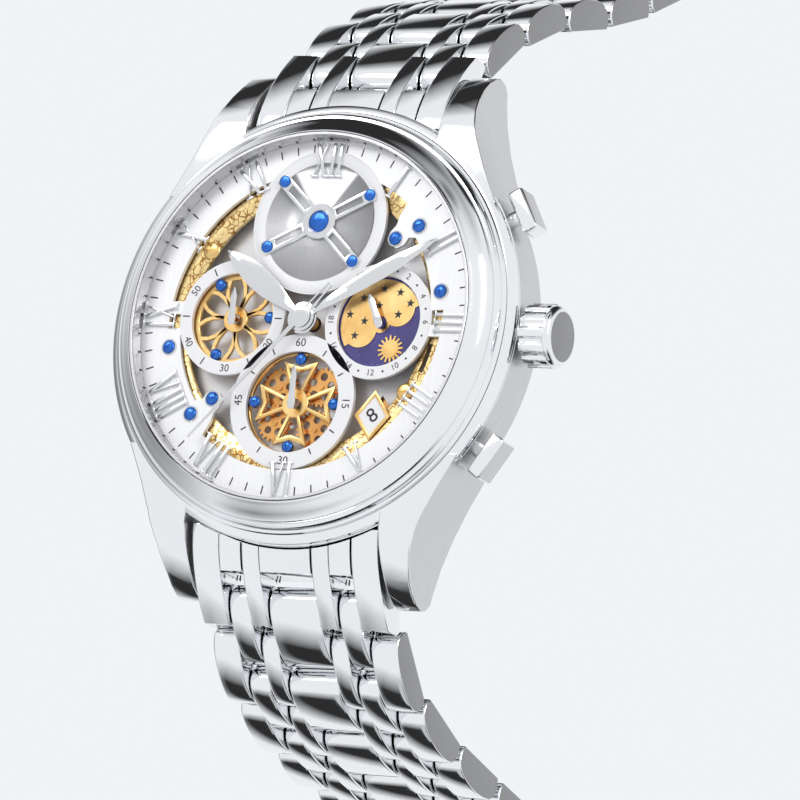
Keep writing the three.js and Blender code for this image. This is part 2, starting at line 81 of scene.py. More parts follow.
# ---- Materials ----
class Wire:
    """A shader socket that does arithmetic."""

    def __init__(self, finish, socket):
        self.finish, self.socket = finish, socket

    def _math(self, operation, *values):
        return self.finish.node("ShaderNodeMath", {"operation": operation}, {i: v for i, v in enumerate(values)})

    def __add__(self, other):
        return self._math("ADD", self, other)

    def __sub__(self, other):
        return self._math("SUBTRACT", self, other)

    def __rsub__(self, other):
        return self._math("SUBTRACT", other, self)

    def __mul__(self, other):
        return self._math("MULTIPLY", self, other)

    def __truediv__(self, other):
        return self._math("DIVIDE", self, other)

    def __gt__(self, other):
        return self._math("GREATER_THAN", self, other)

    def power(self, other):
        return self._math("POWER", self, other)

    __radd__, __rmul__ = __add__, __mul__


class Finish:
    """One material, with its Principled shader's fixed values and its patterns."""

    def __init__(self, name, colour, metallic=0.0, roughness=0.4, **fixed):
        self.material = bpy.data.materials.new(name)
        self.material.use_nodes = True
        self.tree = self.material.node_tree
        self.shader = self.tree.nodes["Principled BSDF"]
        self.colour = (*colour, 1.0)
        self.shader.inputs["Base Color"].default_value = self.colour
        self.shader.inputs["Metallic"].default_value = metallic
        self.shader.inputs["Roughness"].default_value = roughness
        for key, value in fixed.items():
            self.shader.inputs[key.replace("_", " ").title().replace("Ior", "IOR")].default_value = value

    def node(self, kind, settings=None, values=None, output=0):
        made = self.tree.nodes.new(kind)
        for key, value in (settings or {}).items():
            setattr(made, key, value)
        for key, value in (values or {}).items():
            if isinstance(value, Wire):
                self.tree.links.new(value.socket, made.inputs[key])
            else:
                made.inputs[key].default_value = value
        return Wire(self, made.outputs[output])

    def place(self, scale=(1, 1, 1), turn=(0, 0, 0)):
        """Object coordinates in millimetres, scaled and turned."""
        where = self.node("ShaderNodeTexCoord", output=3)
        return self.node("ShaderNodeMapping", {}, {0: where, "Rotation": turn,
                         "Scale": [1000 * s for s in scale]})

    def noise(self, scale, where, detail=3.0):
        return self.node("ShaderNodeTexNoise", {}, {"Vector": where, "Scale": scale, "Detail": detail})

    def mix(self, factor, low, high):
        made = self.tree.nodes.new("ShaderNodeMix")
        made.data_type = "RGBA"
        for index, value in ((0, factor), (6, low), (7, high)):
            if isinstance(value, Wire):
                self.tree.links.new(value.socket, made.inputs[index])
            else:
                made.inputs[index].default_value = value if index == 0 else (*value[:3], 1.0)
        return Wire(self, made.outputs[2])

    def feed(self, name, wire):
        self.tree.links.new(wire.socket, self.shader.inputs[name])

    def bump(self, height, strength, distance=0.00003):
        made = self.node("ShaderNodeBump", {}, {"Height": height, "Strength": strength, "Distance": distance})
        self.feed("Normal", made)


def polished_steel():
    f = Finish("polished_steel", (0.83, 0.84, 0.86), 1.0, 0.07)
    wear = f.noise(0.35, f.place())
    f.feed("Roughness", wear * 0.06 + 0.04)
    f.feed("Base Color", f.mix(f.noise(0.12, f.place()), (0.78, 0.79, 0.81), (0.88, 0.89, 0.9)))
    return f.material


def brushed(name, shade, roughness, stretch):
    f = Finish(name, (shade, shade, shade * 1.01), 1.0, roughness)
    lines = f.noise(2.2, f.place(stretch), 5.0)
    f.feed("Roughness", lines * 0.18 + (roughness - 0.08))
    f.feed("Base Color", f.mix(lines, [shade * 0.82] * 3, [min(1, shade * 1.12)] * 3))
    f.bump(lines, 0.35, 0.00002)
    return f.material


def gilt(name="gilt", deep=(0.80, 0.42, 0.10), light=(1.0, 0.76, 0.36), engraved=False):
    f = Finish(name, light, 1.0, 0.24)
    where = f.place()
    tone = f.noise(0.5, where)
    f.feed("Base Color", f.mix(tone, deep, light))
    if engraved:
        cells = f.node("ShaderNodeTexVoronoi", {"feature": "DISTANCE_TO_EDGE"}, {"Vector": where, "Scale": 1.7})
        scroll = f.noise(1.4, where, 4.0)
        carved = (cells * 3.0 + scroll) > 0.62
        f.feed("Base Color", f.mix(carved, (0.42, 0.2, 0.05), light))
        f.bump(carved, 0.9, 0.00008)
    else:
        f.bump(f.noise(9.0, where), 0.15, 0.00001)
    f.feed("Roughness", tone * 0.16 + 0.16)
    return f.material


def dial_silver():
    f = Finish("dial_silver", (0.86, 0.86, 0.87), 0.55, 0.42)
    lines = f.noise(1.6, f.place((9.0, 0.05, 0.05)), 4.0)
    f.feed("Base Color", f.mix(lines, (0.74, 0.74, 0.75), (0.93, 0.93, 0.94)))
    f.bump(lines, 0.4, 0.00002)
    return f.material


def satin_white(name="satin_white", colour=(0.86, 0.86, 0.87)):
    f = Finish(name, colour, 0.0, 0.38)
    f.feed("Roughness", f.noise(0.8, f.place()) * 0.12 + 0.32)
    return f.material


def base_silver():
    f = Finish("base_silver", (0.7, 0.69, 0.7), 0.6, 0.4)
    lines = f.noise(1.2, f.place((0.6, 0.6, 5.0)), 3.0)
    f.feed("Base Color", f.mix(lines, (0.6, 0.59, 0.6), (0.8, 0.79, 0.8)))
    f.feed("Roughness", lines * 0.2 + 0.3)
    return f.material


def blued_steel():
    f = Finish("blued_steel", (0.01, 0.12, 0.55), 0.75, 0.2, coat_weight=0.6, coat_roughness=0.08)
    f.feed("Base Color", f.mix(f.noise(1.1, f.place()), (0.0, 0.08, 0.42), (0.02, 0.2, 0.75)))
    return f.material


def plain(name, colour, roughness, metallic=0.0, **fixed):
    f = Finish(name, colour, metallic, roughness, **fixed)
    f.feed("Roughness", f.noise(3.0, f.place()) * 0.1 + (roughness - 0.05))
    return f.material


def night_blue():
    f = Finish("night_blue", (0.03, 0.02, 0.2), 0.2, 0.3, coat_weight=0.5, coat_roughness=0.1)
    speck = f.noise(6.0, f.place(), 2.0) > 0.68
    haze = f.noise(0.6, f.place())
    f.feed("Base Color", f.mix(speck * 0.5, f.mix(haze, (0.012, 0.008, 0.07), (0.07, 0.05, 0.32)), (0.4, 0.38, 0.8)))
    return f.material


def crystal_glass():
    f = Finish("crystal_glass", (0.02, 0.02, 0.025), 0.0, 0.02, alpha=0.05, ior=1.5)
    f.material.surface_render_method = "BLENDED"
    return f.material


MATERIALS = {}


def make_materials():
    MATERIALS.update(
        polished_steel=polished_steel(), brushed_steel=brushed("brushed_steel", 0.62, 0.34, (0.2, 6.0, 0.2)),
        # brushed_side: brushed steel at 0.3 instead of 0.62; the brushed finish is real, the darker tone is painted
        # shade on side faces
        brushed_side=brushed("brushed_side", 0.3, 0.36, (0.4, 0.4, 7.0)), gilt=gilt(),
        gilt_engraved=gilt("gilt_engraved", engraved=True), gilt_deep=gilt("gilt_deep", (0.55, 0.22, 0.05),
                                                                          (0.9, 0.52, 0.18)),
        dial_silver=dial_silver(), satin_white=satin_white(), base_silver=base_silver(), blued_steel=blued_steel(),
        black_print=plain("black_print", (0.012, 0.012, 0.014), 0.4), night_blue=night_blue(),
        crystal_glass=crystal_glass(), gasket=plain("gasket", (0.02, 0.02, 0.02), 0.7),
        flange_grey=plain("flange_grey", (0.6, 0.6, 0.61), 0.25, 0.8),
        sun_gold=gilt("sun_gold", (0.75, 0.42, 0.12), (1.0, 0.7, 0.3)))


# ---- Modelling helpers, in the watch frame ----
def deselect():
    if bpy.context.object and bpy.context.object.mode != "OBJECT":
        bpy.ops.object.mode_set(mode="OBJECT")
    bpy.ops.object.select_all(action="DESELECT")


def loop(name, points):
    """A closed wire of 3-D points, selected and in edit mode."""
    deselect()
    bpy.ops.mesh.primitive_circle_add(vertices=len(points), radius=1, fill_type="NOTHING")
    obj = bpy.context.object
    obj.name = name
    for vertex, point in zip(obj.data.vertices, points):
        vertex.co = point
    bpy.ops.object.mode_set(mode="EDIT")
    bpy.ops.mesh.select_all(action="SELECT")
    return obj


def tidy_normals():
    bpy.ops.mesh.select_all(action="SELECT")
    bpy.ops.mesh.remove_doubles(threshold=1e-5)
    bpy.ops.mesh.normals_make_consistent(inside=False)
    bpy.ops.object.mode_set(mode="OBJECT")


def turned(name, profile, centre=(0, 0), steps=128):
    """Spins a closed (r, z) profile about the z axis through centre."""
    obj = loop(name, [(r, 0, z) for r, z in profile])
    bpy.ops.mesh.spin(steps=steps, angle=2 * math.pi, center=(0, 0, 0), axis=(0, 0, 1))
    tidy_normals()
    obj.data.transform(Matrix.Translation((*centre, 0)))
    return obj


def ring(name, r0, r1, z0, z1, centre=(0, 0), steps=96, soft=0.05):
    s = min(soft, (z1 - z0) / 3, (r1 - r0) / 3)
    if r0 <= 0:
        return turned(name, [(0, z0), (r1 - s, z0), (r1, z0 + s), (r1, z1 - s), (r1 - s, z1), (0, z1)], centre, steps)
    return turned(name, [(r0 + s, z0), (r1 - s, z0), (r1, z0 + s), (r1, z1 - s), (r1 - s, z1), (r0 + s, z1),
                         (r0, z1 - s), (r0, z0 + s)], centre, steps)


def plate(name, outline, z0, z1, bevel=0.0):
    """Raises a closed (x, y) outline from z0 to z1."""
    obj = loop(name, [(x, y, z0) for x, y in outline])
    bpy.ops.mesh.edge_face_add()
    bpy.ops.mesh.extrude_region_move(TRANSFORM_OT_translate={"value": (0, 0, z1 - z0)})
    tidy_normals()
    return soften(obj, bevel)


def bar(name, outline, x0, x1, bevel=0.0, segments=3):
    """Runs a closed (y, z) outline along x."""
    obj = loop(name, [(x0, y, z) for y, z in outline])
    bpy.ops.mesh.edge_face_add()
    bpy.ops.mesh.extrude_region_move(TRANSFORM_OT_translate={"value": (x1 - x0, 0, 0)})
    tidy_normals()
    return soften(obj, bevel, segments)


def soften(obj, width, segments=2, angle=32):
    if width > 0:
        modify(obj, "BEVEL", width=width, segments=segments, limit_method="ANGLE", angle_limit=RAD(angle),
               harden_normals=False)
    return obj


def modify(obj, kind, **settings):
    deselect()
    obj.select_set(True)
    bpy.context.view_layer.objects.active = obj
    modifier = obj.modifiers.new(kind.lower(), kind)
    for key, value in settings.items():
        setattr(modifier, key, value)
    bpy.ops.object.modifier_apply(modifier=modifier.name)


def cut(obj, *tools):
    for tool in tools:
        modify(obj, "BOOLEAN", operation="DIFFERENCE", solver="EXACT", object=tool)
        bpy.data.objects.remove(tool)
    return obj


def weld(obj, *others):
    for other in others:
        modify(obj, "BOOLEAN", operation="UNION", solver="EXACT", object=other)
        bpy.data.objects.remove(other)
    return obj


def group(name, objects):
    """Joins finished shells into one object."""
    deselect()
    for obj in objects:
        obj.select_set(True)
    bpy.context.view_layer.objects.active = objects[0]
    if len(objects) > 1:
        bpy.ops.object.join()
    objects[0].name = name
    return objects[0]


def copy(obj, matrix, name=None):
    made = obj.copy()
    made.data = obj.data.copy()
    made.data.transform(matrix)
    if matrix.determinant() < 0:
        made.data.flip_normals()
    bpy.context.collection.objects.link(made)
    made.name = name or obj.name
    return made


def turn_about(deg, centre=(0, 0)):
    shift = Matrix.Translation((*centre, 0))
    return shift @ Matrix.Rotation(RAD(deg), 4, "Z") @ shift.inverted()


def strip(name, a, b, width, z0, z1, bevel=0.0):
    d = Vector((b[0] - a[0], b[1] - a[1])).normalized() * (width / 2)
    n = (-d.y, d.x)
    return plate(name, [(a[0] - n[0], a[1] - n[1]), (b[0] - n[0], b[1] - n[1]), (b[0] + n[0], b[1] + n[1]),
                        (a[0] + n[0], a[1] + n[1])], z0, z1, bevel)


def settle(obj, body, material, replaces=(), smooth=35):
    """Puts a finished piece into the row frame, with its material and body, and hides the CAD parts it replaces."""
    deselect()
    obj.select_set(True)
    bpy.context.view_layer.objects.active = obj
    if material:
        obj.data.materials.clear()
        obj.data.materials.append(MATERIALS[material])
    obj.data.transform(TO_ROW)
    bpy.ops.object.shade_smooth_by_angle(angle=RAD(smooth))
    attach(obj, body)
    if replaces:
        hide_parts(*replaces)
    return obj


def second_finish(obj, material, test):
    """Gives the faces that pass the test a second material."""
    obj.data.materials.append(MATERIALS[material])
    index = len(obj.data.materials) - 1
    for face in obj.data.polygons:
        if test(face):
            face.material_index = index


def words(name, text, size, at, turn, z0, z1):
    """Digits as raised print, centred at a point."""
    deselect()
    bpy.ops.object.text_add()
    obj = bpy.context.object
    obj.name = name
    obj.data.body = text
    obj.data.size = size
    obj.data.align_x, obj.data.align_y = "CENTER", "CENTER"
    obj.data.extrude = (z1 - z0) / 2
    obj.data.resolution_u = 3
    bpy.ops.object.convert(target="MESH")
    obj.data.transform(Matrix.Translation((*at, (z0 + z1) / 2)) @ Matrix.Rotation(RAD(turn), 4, "Z"))
    return obj


# ---- Case, bezel, crystal and back ----
def make_case():
    shell = turned("case_shell", [(18.05, -8.2), (19.35, -8.2), (20.6, -7.1), (20.95, -6.5), (21.0, -6.2),
                   (21.0, -2.5), (20.95, -2.3), (20.7, -2.22), (20.68, -2.1), (20.93, -2.0), (20.99, -1.8),
                   (20.93, -1.5), (20.6, -1.22), (20.25, -1.12), (18.05, -1.12)], steps=180)
    side = [(11, -1.15), (17.6, -1.15), (19.2, -1.3), (20.6, -1.85), (22, -2.75), (23.3, -3.85), (24.4, -5.05),
            (25.1, -6.2), (25.4, -7.2), (25.1, -8.2), (24.4, -8.78), (23, -8.85), (20, -8.75), (11, -8.2)]
    plan = [(10.15, 11.8), (10.15, 25.6), (12.66, 25.6), (12.8, 23.5), (13.3, 21), (14.2, 18.2), (15.4, 15.4),
            (17.2, 11.8)]
    lugs = []
    for end in (1, -1):
        for hand in (1, -1):
            lug = bar("lug", side, 10.15, 17.4)
            footprint = plate("plan", plan, -9.4, 0)
            modify(lug, "BOOLEAN", operation="INTERSECT", solver="EXACT", object=footprint)
            bpy.data.objects.remove(footprint)
            soften(lug, 0.22, 4, 28)
            lugs.append(copy(lug, Matrix.Diagonal((hand, end, 1, 1))))
            bpy.data.objects.remove(lug)
    bore = ring("bore", 0, 18.04, -9.5, 0.5, steps=180)
    lug_set = cut(group("lugs", lugs), bore)
    tube = bar("crown_boss", [(1.75 * math.cos(RAD(a)), STEM_Z + 1.75 * math.sin(RAD(a)))
                              for a in range(0, 360, 12)], 19.5, 21.0, 0.1)
    case = group("case_middle_finish", [shell, lug_set, tube])
    case.data.materials.clear()
    case.data.materials.append(MATERIALS["brushed_steel"])

    def shiny(face):
        z = face.center.z
        r = math.hypot(face.center.x, face.center.y)
        top_facet = r > 18.6 and abs(face.center.y) > 11.8 and abs(face.center.x) < 17.4 and (
            face.normal.z > 0.3 or abs(face.normal.y) > 0.75)
        return z > -2.35 or top_facet and z > -7.2
    second_finish(case, "polished_steel", shiny)
    settle(case, "case", None, ["case_middle"], 30)


def make_bezel():
    bezel = turned("bezel_finish", [(17.62, -1.04), (20.18, -1.04), (20.2, -0.95), (20.1, -0.82), (19.86, -0.72),
                   (19.84, -0.5), (19.72, -0.2), (19.52, -0.04), (19.42, -0.03), (19.36, -0.12), (19.3, 0.0),
                   (19.22, 0.16), (19.0, 0.33), (18.7, 0.66), (18.4, 0.95), (18.1, 1.22), (17.85, 1.44),
                   (17.75, 1.55), (17.68, 1.59), (17.62, 1.55)], steps=220)
    settle(bezel, "case", "polished_steel", ["bezel"], 25)
    flange = turned("inner_flange_finish", [(17.17, 0.06), (17.52, 0.06), (17.54, 1.2), (17.49, 1.2)], steps=160)
    settle(flange, "case", "flange_grey", ["inner_flange"])
    marks = []
    for i in range(60):
        mark = strip("flange_mark", clock(17.14, 0), clock(17.42, 0), 0.16 if i % 5 else 0.3, 0, 0.03)
        tilt = Matrix.Translation((0, 17.16, 0.09)) @ Matrix.Rotation(RAD(73), 4, "X") @ Matrix.Translation(
            (0, -17.14, 0))
        mark.data.transform(turn_about(-6 * i) @ tilt)
        marks.append(mark)
    settle(group("flange_marks", marks), "case", "black_print")
    crystal = turned("crystal_finish", [(0, 1.26), (17.2, 1.26), (17.24, 1.3), (17.24, 1.8), (17.1, 1.98),
                     (16.8, 2.08), (12, 2.13), (0, 2.149)], steps=160)
    settle(crystal, "case", "crystal_glass", ["crystal"])
    gasket = ring("crystal_gasket_finish", 17.26, 17.54, 1.26, 1.58, steps=120, soft=0.03)
    settle(gasket, "case", "flange_grey", ["crystal_gasket"])


def make_back():
    back = turned("case_back_ring_finish", [(13.0, -9.55), (13.1, -9.6), (17.9, -9.6), (18.3, -9.5), (19.15, -8.95),
                  (19.19, -8.3), (18.75, -8.26), (18.75, -8.58), (17.95, -8.58), (17.95, -7.65), (17.02, -7.65),
                  (17.02, -8.98), (13.02, -8.98)], steps=160)
    notch = bar("notch", [(-1.1, -9.9), (1.1, -9.9), (1.1, -9.25), (-1.1, -9.25)], 17.1, 20, 0.0)
    notches = [copy(notch, turn_about(60 * i + 30)) for i in range(6)]
    bpy.data.objects.remove(notch)
    cut(back, *notches)
    soften(back, 0.04)
    settle(back, "case", "brushed_steel", ["case_back_ring"])
    window = turned("case_back_window_finish", [(0, -9.59), (12.8, -9.59), (12.92, -9.5), (12.92, -8.94),
                    (14.6, -8.94), (14.6, -8.46), (0, -8.46)], steps=128)
    settle(window, "case", "crystal_glass", ["case_back_window"])


# ---- Dial ----
def numeral_strokes(text):
    """The strokes of a Roman numeral 3.2 mm tall: (x0, x1 at the foot, width) for each stem or slant."""
    widths = {"I": 0.72, "V": 1.75, "X": 1.75}
    total = sum(widths[c] for c in text)
    x = -total / 2
    strokes, serifs = [], []
    for c in text:
        w = widths[c]
        mid = x + w / 2
        if c == "I":
            strokes.append((mid, mid, 0.34))
            serifs += [(mid, 0.34, 1), (mid, 0.34, -1)]
        elif c == "V":
            strokes += [(mid - 0.55, mid + 0.02, 0.36), (mid + 0.6, mid - 0.02, 0.17)]
            serifs += [(mid - 0.55, 0.4, 1), (mid + 0.6, 0.32, 1)]
        else:
            strokes += [(mid - 0.55, mid + 0.55, 0.36), (mid + 0.55, mid - 0.55, 0.17)]
            serifs += [(mid + s * 0.55, 0.38, e) for s in (-1, 1) for e in (-1, 1)]
        x += w
    return strokes, serifs


NUMERALS = ("XII", "I", "II", "III", "IIII", "V", "VI", "VII", "VIII", "IX", "X", "XI")


def make_numerals():
    made = []
    for hour, text in enumerate(NUMERALS):
        strokes, serifs = numeral_strokes(text)
        shells = []
        for top, foot, width in strokes:
            shells.append(strip("stroke", (top, 1.6), (foot, -1.6), width, 0.0, 0.3, 0.07))
        for x, half, end in serifs:
            shells.append(strip("serif", (x - half, end * 1.6), (x + half, end * 1.6), 0.16, 0.0, 0.28, 0.04))
        numeral = group("numeral", shells)
        upright = 180 if 4 <= hour <= 8 else 0
        numeral.data.transform(turn_about(-30 * hour) @ Matrix.Translation((0, 15.25, 0.005)) @ turn_about(upright))
        made.append(numeral)
    settle(group("numerals", made), "case", "polished_steel")


def flat_ring(name, r0, r1, centre, steps=96):
    return turned(name, [(r0, -0.4), (r1, -0.4), (r1, 0), (r0, 0)], centre, steps)


def flat_disc(name, r, z0, z1, centre, steps=96):
    return turned(name, [(0, z0), (r, z0), (r, z1), (0, z1)], centre, steps)


def make_dial():
    dial = flat_ring("dial_finish", OPENING_R, DIAL_R - 0.02, (0, 0), 180)
    for turn in (0, 180):
        arc = [polar(13.0, turn + 5 + i * 3.7) for i in range(11)]
        arc += [polar(14.7, turn + 42 - i * 3.7) for i in range(11)]
        weld(dial, plate("shoulder", arc, -0.4, 0))
        tab = [polar(14.7, turn + 37), polar(14.7, turn + 52), polar(13.0, turn + 50.5), polar(12.2, turn + 48.5),
               polar(11.3, turn + 48.3), polar(10.7, turn + 46.5), polar(10.6, turn + 43), polar(10.9, turn + 39.6),
               polar(11.7, turn + 38.6), polar(12.4, turn + 40), polar(13.0, turn + 38)]
        weld(dial, plate("tab", tab[::-1], -0.4, 0))
    weld(dial, strip("bridge_3", (12.7, -0.75), (14.6, -0.75), 1.1, -0.4, 0))
    weld(dial, strip("bridge_9", (-12.7, 0.8), (-14.6, 0.8), 1.2, -0.4, 0))
    circles = [((x, y), inner, outer) for x, y, inner, outer in SMALL_DIALS.values()] + [(BALANCE, *BALANCE_RING)]
    for centre, inner, outer in circles:
        weld(dial, flat_disc("sub", outer, -0.4, 0, centre))
    for centre, inner, outer in circles:
        cut(dial, flat_disc("hole", inner, -1, 1, centre))
    soften(dial, 0.05, 2, 50)
    settle(dial, "case", "dial_silver", ["dial_plate"], 25)
    for key, (x, y, inner, outer) in SMALL_DIALS.items():
        face = turned(key + "_dial_face", [(inner + 0.06, 0.002), (outer - 0.06, 0.002), (outer - 0.1, 0.03),
                      (inner + 0.1, 0.03)], (x, y), 96)
        settle(face, "case", "satin_white")
    face = turned("balance_dial_face", [(BALANCE_RING[0] + 0.06, 0.002), (BALANCE_RING[1] - 0.06, 0.002),
                  (BALANCE_RING[1] - 0.1, 0.024), (BALANCE_RING[0] + 0.1, 0.024)], BALANCE, 96)
    settle(face, "case", "satin_white")


def make_dial_print():
    marks = []
    for i in range(60):
        if i % 5:
            marks.append(strip("tick", clock(15.95, 6 * i), clock(16.75, 6 * i), 0.13, 0.001, 0.012))
    z0, z1 = 0.028, 0.045
    x, y, inner, outer = SMALL_DIALS["left"]
    mid = (inner + outer) / 2
    for i, text in enumerate(("60", "10", "20", "30", "40", "50")):
        turn = -60 * i if i not in (2, 3, 4) else -60 * i + 180
        marks.append(words("left_number", text, 1.0, clock(mid, 60 * i, (x, y)), turn, z0, z1))
        marks.append(strip("tick", clock(inner + 0.25, 60 * i + 30, (x, y)), clock(outer - 0.25, 60 * i + 30, (x, y)),
                           0.12, z0, z1))
    x, y, inner, outer = SMALL_DIALS["lower"]
    mid = (inner + outer) / 2
    for i, text in enumerate(("60", "15", "30", "45")):
        turn = (0, -90, 0, 90)[i]
        marks.append(words("lower_number", text, 1.1, clock(mid, 90 * i, (x, y)), turn, z0, z1))
    for i in range(12):
        if i % 3:
            marks.append(strip("tick", clock(inner + 0.25, 30 * i, (x, y)), clock(inner + 0.85, 30 * i, (x, y)),
                               0.13, z0, z1))
    x, y, inner, outer = SMALL_DIALS["right"]
    mid = (inner + outer) / 2
    for i in range(12):
        hour = 2 * i if i else 24
        turn = -30 * i if i not in (4, 5, 6, 7, 8) else -30 * i + 180
        marks.append(words("hour_number", str(hour), 0.82, clock(mid, 30 * i, (x, y)), turn, z0, z1))
        marks.append(flat_disc("dot", 0.11, z0, z1, clock(mid, 30 * i + 15, (x, y)), 12))
    settle(group("dial_print", marks), "case", "black_print")


def screw(name, r, z0, height, slot_turn, at):
    """A blued screw with a crowned, slotted head."""
    head = turned(name, [(0, z0), (r, z0), (r, z0 + height * 0.35), (r * 0.93, z0 + height * 0.62),
                  (r * 0.75, z0 + height * 0.84), (r * 0.4, z0 + height * 0.97), (0, z0 + height)], steps=32)
    groove = strip("groove", (-r * 1.1, 0), (r * 1.1, 0), r * 0.16, z0 + height * 0.7, z0 + height * 2)
    cut(head, groove)
    head.data.transform(Matrix.Translation((*at, 0)) @ Matrix.Rotation(RAD(slot_turn), 4, "Z"))
    return head


def make_screws():
    spots = [(10.45, 9.1), (8.2, 7.85), (13.7, 2.95), (-10.45, -9.3), (-8.4, -7.8), (-13.85, -3.0)]
    blue = [screw("blued_screw", 0.62, 0.0, 0.34, 25 + 40 * i, at) for i, at in enumerate(spots)]
    blue += [screw("arm_screw", 0.58, 0.27, 0.14, a + 20, polar(5.6, a, BALANCE)) for a in ARM_ANGLES]
    blue += [screw("centre_screw", 1.0, 0.12, 0.3, 8, BALANCE)]
    x, y = SMALL_DIALS["left"][:2]
    blue += [screw("left_screw", 0.56, -0.55, 0.42, a, polar(3.72, a, (x, y))) for a in (3, 122, -112)]
    x, y = SMALL_DIALS["lower"][:2]
    blue += [screw("lower_screw", 0.56, -0.55, 0.42, a + 12, polar(4.15, a, (x, y))) for a in (0, 90, 180, 270)]
    settle(group("blued_screws", blue), "case", "blued_steel")
    rims = [ring("screw_rim", 0.64, 0.78, 0.0, 0.09, at, 32) for at in spots]
    rims += [ring("centre_rim", 1.04, 1.22, 0.12, 0.3, BALANCE, 48)]
    settle(group("screw_rims", rims), "case", "polished_steel")
    gilt_heads = [screw("gilt_screw", 0.85, -0.62, 0.3, 10, clock(13.0, a)) for a in (300, 120)]
    settle(group("gilt_screws", gilt_heads), "case", "gilt")


def make_balance_bridge():
    z0, z1 = 0.06, 0.25
    parts = [ring("hub", 1.15, 1.68, z0, z1 + 0.04, BALANCE, 64)]
    for a in ARM_ANGLES:
        arm = strip("arm", polar(1.4, a, BALANCE), polar(6.1, a, BALANCE), 1.3, z0, z1)
        cut(arm, strip("slot", polar(1.9, a, BALANCE), polar(4.75, a, BALANCE), 0.62, -1, 1))
        parts.append(soften(arm, 0.06, 2))
    floor = flat_disc("floor", 1.3, z0, z0 + 0.05, BALANCE, 48)
    settle(group("balance_bridge_finish", parts + [floor]), "case", "polished_steel",
           ["balance_bridge"])


# ---- Gilt pieces seen through the dial ----
def toothed(name, teeth, tip, root, z0, z1, centre, phase=0.0, bevel=0.0):
    points = []
    step = 360 / teeth
    for i in range(teeth):
        a = phase + i * step
        points += [polar(root, a - step * 0.34, centre), polar(tip, a - step * 0.14, centre),
                   polar(tip, a + step * 0.14, centre), polar(root, a + step * 0.34, centre)]
    return plate(name, points, z0, z1, bevel)


def make_engraved_ring():
    band = turned("engraved_ring_finish", [(12.5, -1.08), (14.85, -1.08), (14.85, -0.66), (14.7, -0.62),
                  (12.65, -0.62), (12.5, -0.7)], steps=160)
    cut(band, flat_disc("clear", BALANCE_RING[0] + 0.1, -2, 1, BALANCE), flat_disc("clear", 5.35, -2, 1,
        SMALL_DIALS["lower"][:2]))
    for start in (100, 200, 262, 340):
        slot = [polar(13.05, start + 3 * i) for i in range(5)] + [polar(13.5, start + 12 - 3 * i) for i in range(5)]
        cut(band, plate("pierced", slot[::-1], -2, 1))
    settle(band, "case", "gilt_engraved", ["engraved_ring"])


def make_left_bridge():
    x, y, inner, outer = SMALL_DIALS["left"]
    c = (x, y)
    parts = [ring("rim", inner - 0.45, inner + 0.3, -1.05, -0.62, c, 96)]
    for i in range(7):
        a = 360 * i / 7 + 20
        left = [polar(1.0 + 2.9 * t, a + 16 * t * t, c) for t in (0, 0.25, 0.5, 0.75, 1)]
        right = [polar(1.0 + 2.9 * t, a - 16 * t * t, c) for t in (0, 0.25, 0.5, 0.75, 1)]
        for path in (left, right):
            for p, q in zip(path, path[1:]):
                parts.append(strip("spoke", p, q, 0.34, -0.95, -0.6))
    parts.append(ring("hub", 0.45, 1.25, -1.05, -0.58, c, 48))
    settle(group("left_window_finish", parts), "case", "gilt", ["left_window_bridge"])


def make_lower_bridge():
    x, y, inner, outer = SMALL_DIALS["lower"]
    c = (x, y)
    parts = [ring("rim", inner - 0.12, inner + 0.4, -1.05, -0.62, c, 96)]
    for i in range(4):
        a = 90 * i + 90
        outline = [polar(1.0, a - 30, c), polar(4.35, a - 24, c), polar(3.45, a, c), polar(4.35, a + 24, c),
                   polar(1.0, a + 30, c)]
        hole = [polar(1.35, a - 14, c), polar(3.55, a - 19, c), polar(2.95, a, c), polar(3.55, a + 19, c),
                polar(1.35, a + 14, c)]
        parts.append(soften(cut(plate("star_point", outline, -0.9, -0.6), plate("hole", hole, -2, 1)), 0.04))
        parts.append(strip("stay", polar(4.0, a, c), polar(inner + 0.1, a, c), 1.0, -1.0, -0.62))
    parts.append(ring("hub", 0.45, 1.35, -1.05, -0.58, c, 48))
    settle(group("lower_window_finish", parts), "case", "gilt", ["lower_window_bridge"])
    wheels = []
    for (wx, wy, r, teeth, z) in ((2.2, -6.1, 1.9, 22, -1.35), (-2.1, -9.6, 1.8, 20, -1.4), (2.0, -10.1, 1.9, 22, -1.6),
                                  (-2.3, -6.2, 1.9, 22, -1.65)):
        wheel = toothed("lower_wheel", teeth, r, r - 0.28, z, z + 0.2, (wx, wy))
        for k in range(5):
            cut(wheel, flat_disc("hole", r * 0.2, -3, 1, polar(r * 0.52, 72 * k + 10, (wx, wy)), 24))
        wheels.append(wheel)
        wheels.append(flat_disc("arbor", 0.25, -1.85, z + 0.32, (wx, wy), 20))
    settle(group("lower_window_wheels", wheels), "case", "gilt_deep")


# ---- Date, day-night disc, balance, hands ----
def make_date():
    x, y = DATE
    diamond = [(x + 1.85, y), (x, y + 2.4), (x - 1.85, y), (x, y - 2.4)]
    frame_piece = plate("date_frame_finish", diamond[::-1], -0.52, -0.42)
    inner = [(x + 1.42, y), (x, y + 1.85), (x - 1.42, y), (x, y - 1.85)]
    cut(frame_piece, plate("hole", inner[::-1], -1, 1))
    soften(frame_piece, 0.03, 2)
    settle(frame_piece, "case", "gilt", ["date_frame"])
    paper = plate("date_window_ground", [(x + 1.5, y), (x, y + 1.95), (x - 1.5, y), (x, y - 1.95)][::-1], -0.515, -0.5)
    settle(paper, "case", "satin_white")
    number = words("date_number", "8", 2.0, (x + 0.02, y), 43, -0.499, -0.47)
    settle(number, "case", "black_print")


def star(r, z0, z1, at):
    return plate("star", [polar(r if i % 2 == 0 else r * 0.42, 90 + 36 * i, at) for i in range(10)], z0, z1)


